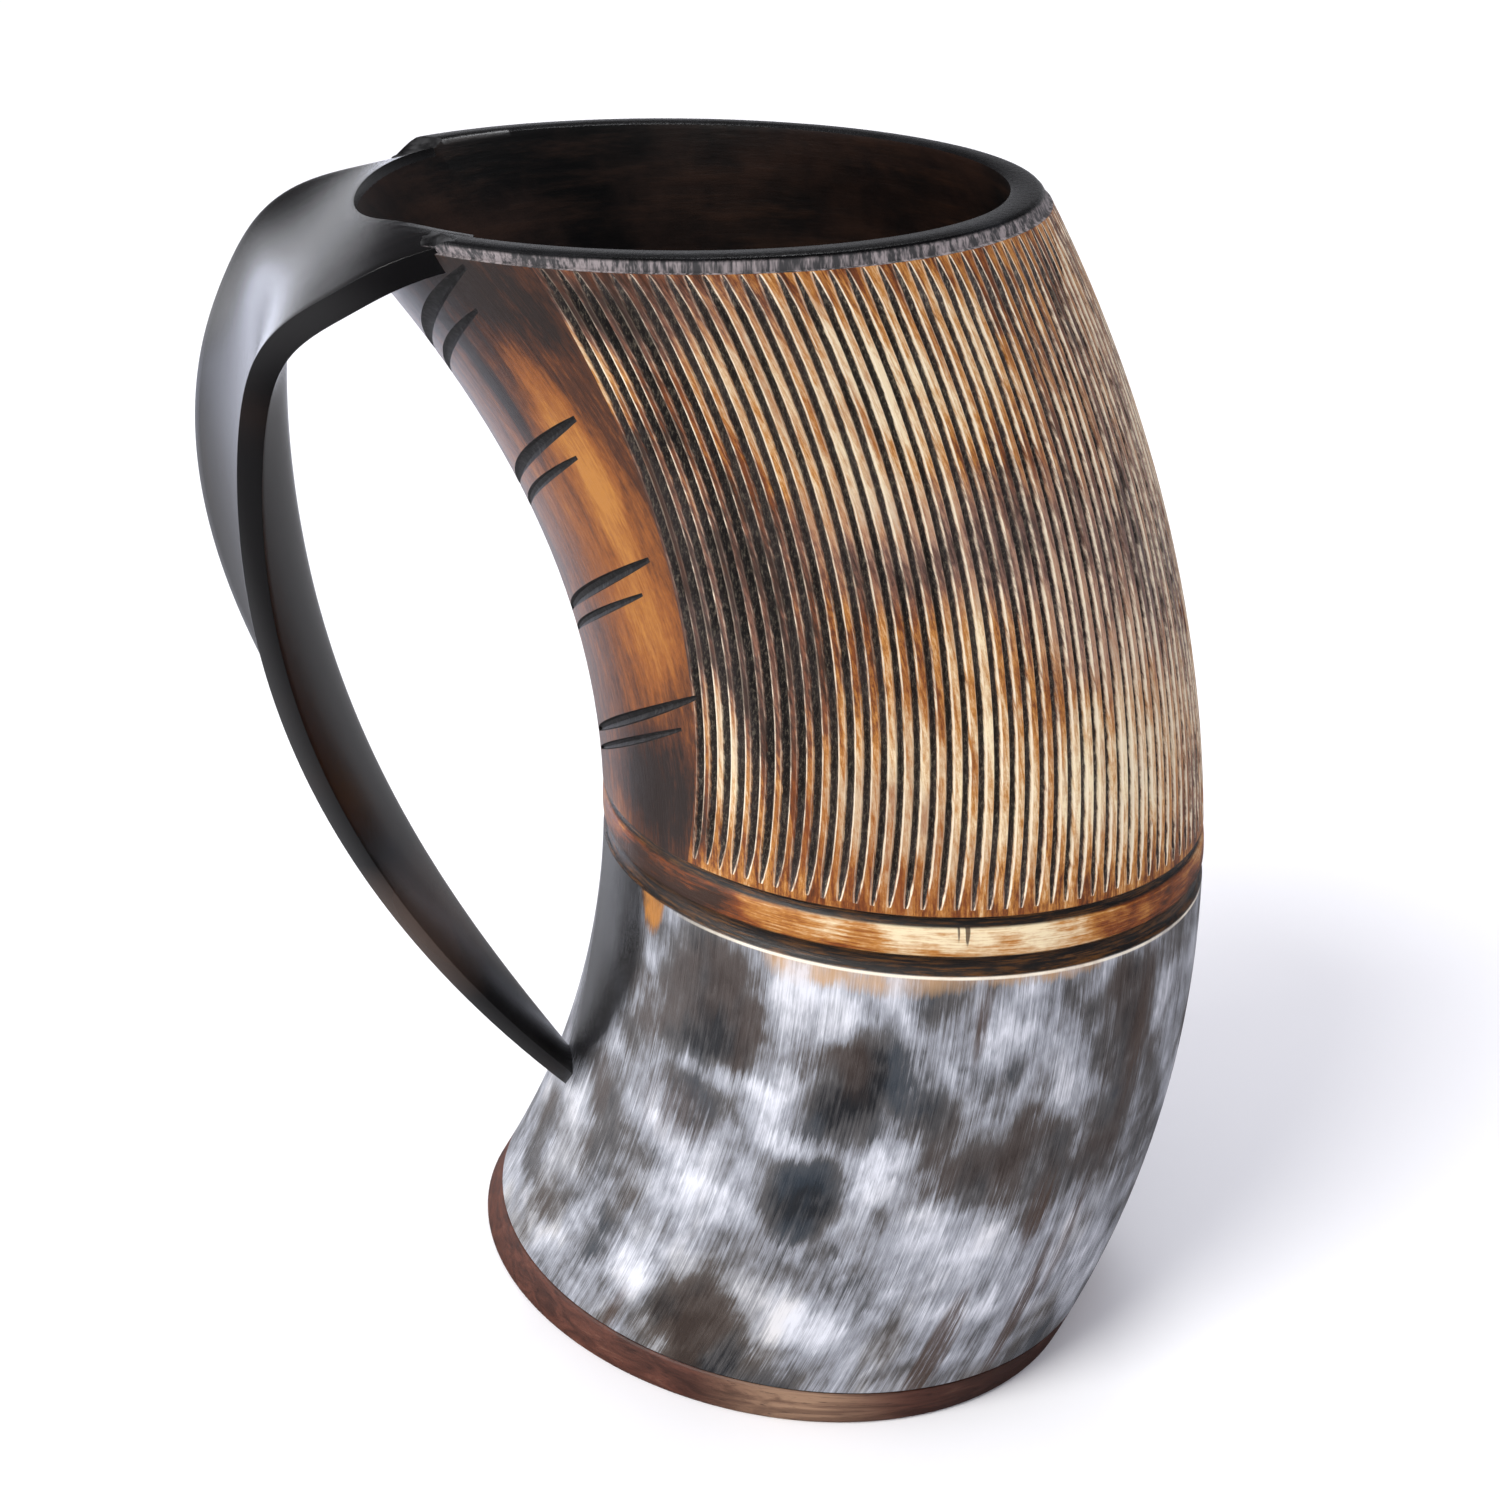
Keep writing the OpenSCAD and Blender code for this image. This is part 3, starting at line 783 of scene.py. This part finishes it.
class HornTree(Tree):
    """The horn's nodes, with the places and noises that its parts share."""

    def __init__(self, look, shape):
        super().__init__("Horn")
        self.look, self.shape = look, shape
        self.cos_t, self.sin_t, _ = self.parts(self.node("UVMap", {"uv_map": "Turn"}))
        self.number, self.height, _ = self.parts(self.node("UVMap", {"uv_map": "Flutes"}))
        self.over = self.height - shape.band / MM
        self.skin = self.skin_at(self.height)
        # Fibres run up the horn, so the streaks are drawn out along it, and clouds are torn along them
        self.fibre = self.streaks(0.04, 1.5, 5, 0.75)
        self.fine = self.streaks(0.03, 5.5, 4, 0.8)
        self.torn = self.fibre.swing(6) + self.fine.swing(2.5)
        self.frayed = self.skin_at(self.height + self.torn)
        self.small = self.streaks(0.7, 0.16, 6, 0.6, 0.1, torn=True)
        self.slow = self.streaks(0.1, 0.5, 6, 0.7, 0.2)
        self.grain = self.streaks(0.12, 3, 4, 0.75)
        self.speck = self.streaks(0.5, 1.6, 5, 0.75)
        self.blot = self.streaks(0.8, 0.09, 5, 0.62, 0.3, torn=True)
        self.level = self.noise(self.stretched(self.skin, (0.05, 0.05, 1)), 3.6, 4, 0.75)
        self.broad = self.noise(self.stretched(self.skin, (0.5, 0.5, 1)), 0.16, 5, 0.65)
        self.grit = self.noise(self.stretched(self.place(), (1, 1, 0.4)), 3200, 3, 0.8)
        self.painted_handle_reflection = self.clouds("painted handle reflection", 0.9).clamped()

    def skin_at(self, height):
        """Place on the horn as if it were a straight round pipe, in millimetres."""
        return self.vector(self.cos_t * GIRTH, self.sin_t * GIRTH, height)

    def streaks(self, along, scale, detail, rough, warp=0, torn=False):
        """Noise of the surface, drawn out along the horn where along is under 1."""
        place = self.stretched(self.frayed if torn else self.skin, (1, 1, along))
        return self.noise(place, scale, detail, rough, warp)

    def clouds(self, name, rag=0.8):
        """The named clouds added up: each has its weight in its middle and fades to its torn edge."""
        height = self.height + self.torn * rag
        out = 0
        for turn, middle, wide, tall, weight in CLOUDS[name]:
            c, s = math.cos(math.radians(turn)), math.sin(math.radians(turn))
            aside = (1 - (self.cos_t * c + self.sin_t * s)) * (2 * (GIRTH / wide) ** 2)
            up = (height - middle) / tall
            out = out + (1 - (aside + up * up)).most(0) * weight
        return out

    def belly(self):
        """White and grey marbling with brown and blue clouds, and a painted black reflection of the handle on
        the belly under it.
        """
        look, fibre, small = self.look, self.fibre, self.small
        marble = self.streaks(1.1, 0.065, 6, 0.58, 0.15, torn=True)
        brush = self.streaks(0.015, 4.2, 3, 0.85)
        shade = 0.47 + marble.swing(1.3) + small.swing(1.15) + fibre.swing(0.45) + brush.swing(0.7)
        shade = shade + self.clouds("dark") * 0.62 - self.clouds("pale") * 0.5
        stops = ((0.08, look.white), (0.36, look.silver), (0.62, look.slate), (1, look.charcoal))
        tint = self.ramp(shade.clamped(), stops)
        tinge = self.streaks(0.6, 0.09, 3, 0.5, 0.2, torn=True)
        deep = shade.between(0.4, 0.75)
        tint = self.mix(deep * tinge.between(0.5, 0.66) * 0.45, tint, look.umber)
        tint = self.mix(deep * (1 - tinge.between(0.34, 0.48)) * 0.5, tint, look.steel)
        warm = tinge.between(0.47, 0.6) * self.height.between(5, 45, 0.8, 0.15)
        tint = self.mix(warm * 0.55, tint, self.mix(0.6, tint, look.cream, "MULTIPLY"))
        # Painted reflection of the handle, black, on the belly under it
        tint = self.mix(self.painted_handle_reflection * 0.93, tint, look.black)
        rust = (self.clouds("rust", 0.35) * fibre.between(0.36, 0.56)).clamped()
        tint = self.mix(rust * 0.85, tint, look.umber)
        stain = self.clouds("stain", 0.6).clamped() * small.between(0.35, 0.6, 0.2, 0.75)
        tint = self.mix(stain, tint, blended(look.gold, look.cream, 0.3))
        tooth = self.clouds("tooth", 0.7).clamped()
        return self.mix(tooth * 0.9, tint, self.mix(small.between(0.4, 0.6), look.brown, look.gold))

    def ridges(self):
        """Gold and cream ridges with burnt and ashen clouds. Returns their colour and their tone."""
        look, grain = self.look, self.grain
        own = self.node("TexWhiteNoise", {"noise_dimensions": "1D"}, {"W": (self.number + 0.5).floor()})
        tone = 0.4 + self.blot.swing(0.6) + self.slow.swing(1.3) + own.swing(0.16)
        tone = tone + grain.swing(0.9) + self.speck.swing(0.6) + self.clouds("bright") - self.clouds("burnt")
        brown = blended(look.brown, look.amber, 0.7)
        stops = ((0.08, look.brown), (0.3, brown), (0.53, look.gold), (0.9, look.cream))
        tint = self.ramp(tone.clamped(), stops)
        orange = self.streaks(0.2, 0.35, 5, 0.65).between(0.5, 0.64)
        red = self.clouds("red").clamped()
        tint = self.mix((orange * 0.5 + red * 0.6).clamped(), tint, self.mix(0.7, tint, look.amber))
        grey = self.clouds("grey").clamped() * grain.between(0.3, 0.62, 0.5, 0.95)
        stops = (
            (0.1, look.groove), (0.35, blended(look.slate, look.amber, 0.3)),
            (0.75, blended(look.silver, look.gold, 0.5)),
        )
        return self.mix(grey * 0.8, tint, self.ramp((tone + 0.22).clamped(), stops)), tone

    def plain_strip(self):
        """Polished brown and amber on the handle's side."""
        look = self.look
        tone = 0.32 + self.slow.swing(0.8) + self.blot.swing(0.5) + self.grain.swing(0.7)
        tone = tone + self.speck.swing(0.4) + self.clouds("glow") - self.clouds("shadow", 0.6)
        stops = (
            (0.05, blended(look.brown, look.black, 0.6)), (0.3, blended(look.brown, look.amber, 0.25)),
            (0.6, blended(look.amber, look.gold, 0.25)), (0.92, look.gold),
        )
        return self.ramp(tone.clamped(), stops)

    def upper(self):
        """Ridges with painted highlights along their edges, plain strip and dark rough flutes. Returns their
        colour, and where the flutes are.
        """
        look, number, grit = self.look, self.number, self.grit
        ridge, tone = self.ridges()
        on_plain = number.above(self.shape.flutes)
        tint = self.mix(on_plain, ridge, self.plain_strip())
        low, high = flute_ends(self.shape)
        share = (self.height - low) / FLUTE_POINTS[0]
        share = share.least((high - self.height) / FLUTE_POINTS[1]).clamped()
        aside = (number + 0.5).fraction() - 0.5
        off = aside.size()
        width = 0.235 + self.clouds("wide flutes", 0.5) * 0.09
        reach = 0.5 - share.power(0.5) * width + self.grain.swing(0.14)
        carved = (1 - on_plain) * share.above(0.001)
        inside = (off - reach).between(-0.02, 0.03) * carved
        light = self.streaks(0.5, 0.14, 4, 0.6, torn=True)
        pit = self.mix(light.between(0.42, 0.6) * 0.8, look.groove, blended(look.slate, look.brown, 0.45))
        pit = self.mix(grit.between(0.48, 0.7) * 0.6, pit, blended(look.slate, look.cream, 0.35))
        pit = self.mix(grit.between(0.28, 0.45, 0.6, 0), pit, look.black)
        # Painted highlight: pale lines along the ridges' edges, stronger on their left sides, which face the
        # light
        edge = (1 - (off - reach + 0.06).size() / 0.075).clamped() * carved
        edge = edge * self.fibre.between(0.34, 0.54) * tone.between(0, 0.5, 0.15, 1)
        edge = edge * aside.between(-0.05, 0.05, 1.4, 0.5)
        tint = self.mix(edge.clamped(), tint, blended(look.cream, WHITE, 0.25))
        return self.mix(inside * 0.97, tint, pit), inside

    def band(self):
        """Two dark striated grooves and a golden bead between them."""
        look, over, level = self.look, self.over, self.level
        tone = 0.5 + self.broad.swing(1.5) + level.swing(0.9) + (over - 5.2) * 0.05
        tone = tone + self.clouds("pale bead", 0) - self.clouds("dark bead", 0)
        stops = ((0.15, look.brown), (0.4, look.amber), (0.62, look.gold), (0.9, look.cream))
        bead = self.ramp(tone.clamped(), stops)
        bead = self.mix(self.clouds("nick", 0).clamped() * 0.85, bead, look.brown)
        dark, pale = blended(look.groove, look.black, 0.4), blended(look.brown, look.gold, 0.2)
        trench = self.mix(level.between(0.45, 0.66), dark, pale)
        on_bead = (1 - (over - 4.9).size().between(1.85, 2.15)).clamped()
        return self.mix(on_bead, trench, bead)

    def lip(self):
        """A painted highlight: a thin pale line under the band, where its lower lip catches the light, on the
        side away from the handle.
        """
        line = (1 - (self.over + 0.22).size().between(0.12, 0.34)).clamped()
        return line * self.broad.between(0.3, 0.55, 0.35, 1) * self.clouds("lip", 0).clamped()


def horn_material(look, shape):
    """The marbled belly, the carved band, and the fluted part over it."""
    tree = HornTree(look, shape)
    over, fine = tree.over, tree.fine
    upper, inside = tree.upper()
    # Painted highlight along the band's lower lip
    tint = tree.mix(tree.lip(), tree.belly(), blended(look.cream, WHITE, 0.4))
    tint = tree.mix(over.between(-0.1, 0.1), tint, tree.band())
    tint = tree.mix(over.between(BAND_TALL - 0.1, BAND_TALL + 0.15), tint, upper)
    # Brushing shows in the polish, and the flutes are dull
    rough = 0.24 + (fine - 0.3) * 0.3 + over.between(0, 0.4) * 0.1 + inside * 0.3 - tree.painted_handle_reflection * 0.1
    scratch = tree.bump(fine * 0.6 + tree.fibre * 0.4, 0.3, 0.0003)
    ribs = over.between(-0.1, 0.2) * (1 - over.between(BAND_TALL - 0.2, BAND_TALL + 0.2))
    carve = tree.bump(tree.grit * inside + tree.level * ribs * 0.7, 0.6, 0.00035, scratch)
    return tree.finish(
        Base_Color=tint, Roughness=rough.clamped(), Normal=carve, Coat_Weight=0.06, Coat_Roughness=0.12
    )


def rim_material(look, shape):
    """Dark polished end grain, with a grey scratched outer edge."""
    tree = Tree("Rim")
    place = tree.place()
    z = tree.parts(place)[2]
    flow = tree.noise(tree.stretched(place, (1, 1, 0.3)), 90, 5, 0.6)
    nick = tree.noise(tree.stretched(place, (1, 1, 0.12)), 1500, 3, 0.75)
    tint = tree.mix(flow.between(0.4, 0.75), look.black, blended(look.black, look.charcoal, 0.7))
    outer = 1 - z.between(shape.height - 0.6 * MM, shape.height - 0.25 * MM)
    dim = blended(look.charcoal, look.slate, 0.5)
    grey = tree.mix(nick.between(0.4, 0.64), dim, blended(look.silver, look.gold, 0.2))
    tint = tree.mix(outer * 0.85, tint, grey)
    rough = 0.2 + nick * 0.14 + outer * 0.25
    return tree.finish(Base_Color=tint, Roughness=rough, Normal=tree.bump(nick, 0.25, 0.0002))


def inside_material(look):
    """The unpolished inner wall, dark brown with rings of the drill."""
    tree = Tree("Inside")
    place = tree.place()
    ring = tree.noise(tree.stretched(place, (0.15, 0.15, 1)), 260, 5, 0.7)
    cloudy = tree.noise(place, 45, 5, 0.6)
    tint = tree.mix(cloudy.between(0.35, 0.7), look.black, blended(look.brown, look.charcoal, 0.3))
    tint = tree.mix(ring.between(0.45, 0.7) * 0.5, tint, look.brown)
    return tree.finish(Base_Color=tint, Roughness=0.3 + ring * 0.25, Normal=tree.bump(ring, 0.35, 0.0004))


def cut_material(look):
    """The rough bottom of a notch."""
    tree = Tree("Notch")
    grit = tree.noise(tree.stretched(tree.place(), (1, 1, 0.4)), 1400, 4, 0.75)
    dark, pale = blended(look.groove, look.black, 0.4), blended(look.groove, look.slate, 0.5)
    tint = tree.mix(grit.between(0.45, 0.75), dark, pale)
    return tree.finish(Base_Color=tint, Roughness=0.6, Normal=tree.bump(grit, 0.5, 0.0003))


def handle_material(look):
    """Near-black polished horn that lets a little brown through."""
    tree = Tree("Dark horn")
    place = tree.place()
    across, along, _ = tree.parts(tree.node("UVMap", {"uv_map": "Strip"}))
    run = tree.vector(across, along * 0.12, 0)
    streak = tree.noise(tree.stretched(run, (9, 6, 1)), 6, 5, 0.65)
    fine = tree.noise(tree.stretched(run, (60, 6, 1)), 4, 4, 0.7)
    soft = tree.noise(place, 38, 5, 0.6, 0.3)
    tint = tree.mix(streak.between(0.5, 0.78) * 0.55, look.black, blended(look.black, look.brown, 0.55))
    tint = tree.mix(soft.between(0.55, 0.78) * 0.4, tint, blended(look.black, look.charcoal, 0.5))
    patch = (1 - ((along - 0.9) / 0.045).power(2)).most(0) * soft.between(0.4, 0.6)
    tint = tree.mix(patch * 0.8, tint, look.umber)
    rough = 0.1 + fine * 0.16 + soft * 0.08
    bump = tree.bump(fine, 0.12, 0.0002)
    return tree.finish(Base_Color=tint, Roughness=rough, Normal=bump, Coat_Weight=0.45, Coat_Roughness=0.22)


def wood_material(look):
    """Oiled walnut whose grain runs across the disc."""
    tree = Tree("Walnut")
    place = tree.place()
    turned = {"Vector": place, "Rotation": (0, 0, math.radians(12)), "Scale": (0.12, 1, 2.4)}
    lay = tree.node("Mapping", None, turned)
    rings = tree.noise(lay, 260, 6, 0.65, 0.9)
    pores = tree.noise(tree.stretched(lay, (0.8, 1, 1)), 1700, 3, 0.75)
    broad = tree.noise(place, 26, 4, 0.55)
    tint = tree.ramp(
        (rings * 0.75 + broad * 0.35 - 0.05).clamped(),
        (
            (0.36, blended(look.walnut, look.black, 0.7)), (0.48, blended(look.walnut, look.black, 0.3)),
            (0.58, look.walnut), (0.76, blended(look.walnut, look.tan, 0.6)),
        ),
    )
    x, y, _ = tree.parts(place)
    near = (1 - ((x - 0.004) / 0.017).size()).between(0, 0.95) * (1 - y.between(-0.04, -0.03))
    tint = tree.mix(near * rings.between(0.36, 0.6, 0.35, 0.9), tint, look.tan)
    end = (x - 0.5 * y).between(0.035, 0.05) * (1 - x.between(0.04, 0.052))
    tint = tree.mix(end * 0.6, tint, blended(look.walnut, look.black, 0.75))
    tint = tree.mix(pores.between(0.58, 0.7) * 0.7, tint, blended(look.walnut, look.black, 0.8))
    rough = 0.42 + rings * 0.2
    bump = tree.bump(pores * 0.6 + rings * 0.4, 0.35, 0.0003)
    return tree.finish(Base_Color=tint, Roughness=rough, Normal=bump)


def plain_material(name, tint, rough):
    """One colour with a little grit."""
    tree = Tree(name)
    grit = tree.noise(tree.place(), 400, 3, 0.6)
    mixed = tree.mix(grit.between(0.35, 0.7), tint, blended(tint, WHITE, 0.05))
    return tree.finish(Base_Color=mixed, Roughness=rough + grit * 0.15, Normal=tree.bump(grit, 0.2, 0.0002))


# ---- stage ----


class MUG_OT_stage(bpy.types.Operator):
    """Sets the floor, the surroundings, the lights and the camera"""

    bl_idname = "mug.stage"
    bl_label = "Stage"

    def execute(self, context):
        scene, stage = context.scene, context.scene.mug_stage
        bpy.ops.object.select_all(action="DESELECT")
        bpy.ops.mesh.primitive_plane_add(size=12, location=(0, 0, 0))
        floor = context.object
        floor.name = "floor"
        tree = Tree("Floor")
        x, y, _ = tree.parts(tree.place())
        # Polished horn sees the floor dark in front, and glowing behind it on the left
        lit = 0.15 + (-x).between(0.03, 0.22, 0, 0.72) + x.between(0.12, 0.3, 0, 0.3)
        lit = lit * (y - x * 0.3).between(-0.16, 0.08, 0.12, 1)
        seen = tree.mix(lit, (0.02, 0.02, 0.022), tuple(stage.floor))
        glossy = tree.node("LightPath", output="Is Glossy Ray")
        glow = (-x).between(0.05, 0.25) * y.between(-0.05, 0.15) * glossy
        glow = tree.mix(glow, (0, 0, 0), (0.72, 0.78, 1))
        tint = tree.mix(glossy, tuple(stage.floor), seen)
        tree.finish(Base_Color=tint, Roughness=0.9, Emission_Color=glow, Emission_Strength=1.4)
        floor.data.materials.append(tree.material)
        self.sky(scene, stage)
        sun = self.light("Key", "SUN", (-0.57, -0.4, 0.74), stage.key, (1, 0.99, 0.97))
        sun.angle = 0.55
        self.light("Left", "AREA", (-0.75, 0.1, 0.4), stage.glint * 0.5, (0.96, 0.97, 1)).size = 0.5
        self.light("Top", "AREA", (0.1, 0.35, 0.8), stage.glint, (0.96, 0.97, 1)).size = 0.25
        bpy.ops.object.camera_add(location=CAMERA, rotation=(math.pi / 2 - TILT, 0, 0))
        camera = context.object
        camera.data.lens, camera.data.sensor_width = LENS, SENSOR
        camera.data.dof.use_dof = False
        camera.data.clip_start = 0.01
        scene.camera = camera
        scene.render.engine = "CYCLES"
        scene.cycles.samples = 160
        scene.cycles.use_denoising = True
        scene.render.resolution_x = scene.render.resolution_y = 1500
        scene.view_settings.view_transform = "Standard"
        scene.view_settings.look = "None"
        return {"FINISHED"}

    def light(self, name, kind, place, power, tint):
        """Adds a light that points at the mug's middle."""
        bpy.ops.object.light_add(type=kind, location=place)
        lamp = bpy.context.object
        lamp.name = name
        lamp.data.energy, lamp.data.color = power, tint
        lamp.rotation_euler = (Vector((0, 0, 0.08)) - lamp.location).to_track_quat("-Z", "Y").to_euler()
        return lamp.data

    def sky(self, scene, stage):
        """Even light all round, in a white space.

        Glossy surfaces see it white near the floor, and dark above and towards the front.
        """
        scene.world = scene.world or bpy.data.worlds.new("Sky")
        tree = Tree("Sky", scene.world)
        tree.nodes.clear()
        x, y, z = tree.parts(tree.node("TexCoord"))
        left, most = -x, 1.3
        seen = z.between(0.02, 0.34, 1, 0.06) * y.between(-0.9, 0.1, 0.15, 1)
        seen = seen * left.between(-0.1, 0.5, 0.4, 1)
        seen = seen + left.between(0.55, 0.95) * z.between(0.1, 0.9, most - 1, 0)
        seen = tree.mix(seen / most, (0, 0, 0), (0.93, 0.94, 1))
        even = tree.node("Background", None, {"Color": (0.91, 0.905, 1), "Strength": stage.sky})
        shaped = tree.node("Background", None, {"Color": seen, "Strength": most})
        white = tree.node("Background", None, {"Color": WHITE, "Strength": 1})
        glossy = tree.node("LightPath", output="Is Glossy Ray")
        camera = tree.node("LightPath", output="Is Camera Ray")
        mix = tree.node("MixShader", None, {0: glossy, 1: even, 2: shaped})
        mix = tree.node("MixShader", None, {0: camera, 1: mix, 2: white})
        out = tree.nodes.new("ShaderNodeOutputWorld")
        tree.links.new(mix.socket, out.inputs[0])


class MUG_PT_panel(bpy.types.Panel):
    """Buttons for the pieces and the stage, with all their values"""

    bl_label = "Horn mug"
    bl_idname = "MUG_PT_panel"
    bl_space_type = "VIEW_3D"
    bl_region_type = "UI"
    bl_category = "Horn mug"

    def draw(self, context):
        for kind in OPERATORS:
            self.layout.operator(kind.bl_idname)
        for group in (context.scene.mug_shape, context.scene.mug_look, context.scene.mug_stage):
            for key in group.__annotations__:
                self.layout.prop(group, key)


OPERATORS = (MUG_OT_body, MUG_OT_handle, MUG_OT_base, MUG_OT_seal, MUG_OT_stage)
GROUPS = (("mug_shape", MugShape), ("mug_look", MugLook), ("mug_stage", MugStage))


def register():
    for kind in (MugShape, MugLook, MugStage, *OPERATORS, MUG_PT_panel):
        bpy.utils.register_class(kind)
    for name, group in GROUPS:
        setattr(bpy.types.Scene, name, PointerProperty(type=group))


def unregister():
    for name, _ in GROUPS:
        delattr(bpy.types.Scene, name)
    for kind in (MUG_PT_panel, *reversed(OPERATORS), MugStage, MugLook, MugShape):
        bpy.utils.unregister_class(kind)


def main():
    register()
    bpy.ops.mug.body()
    bpy.ops.mug.handle()
    bpy.ops.mug.base()
    bpy.ops.mug.seal()
    bpy.ops.mug.stage()


if __name__ == "__main__":
    main()
